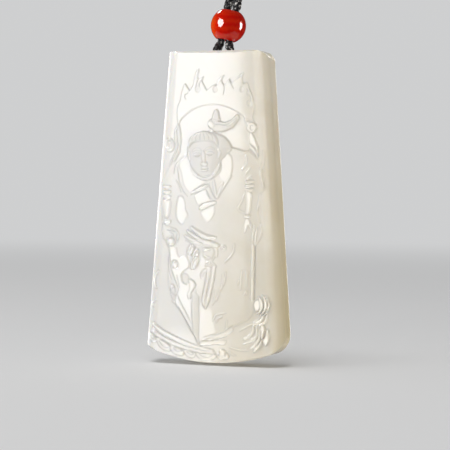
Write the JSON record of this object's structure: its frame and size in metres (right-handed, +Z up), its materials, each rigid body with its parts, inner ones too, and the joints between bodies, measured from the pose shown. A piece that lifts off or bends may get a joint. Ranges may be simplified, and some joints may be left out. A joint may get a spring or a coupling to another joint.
{
  "type": "jade amulet plaque on a neck cord",
  "caption": "Tall tapering jade plaque carved in low relief with a robed guardian figure, hung from a braided neck cord through a round agate bead.",
  "frame": {"origin": "where the loop of the cord lies on the nape of the neck, on the cord's inner side", "axes": "+Z up as worn, -Y the way that the carved face looks, +X to the left of the person who wears it"},
  "size_m": [0.1226, 0.1862, 0.247],
  "materials": {
    "jade": "pale translucent nephrite, polished",
    "agate": "red agate, high polish",
    "braid": "black braided cord with pale flecks"
  },
  "bodies": {
    "root": {"plaque": "jade", "bead": "agate", "neck_cord": "braid"}
  },
  "joints": []
}
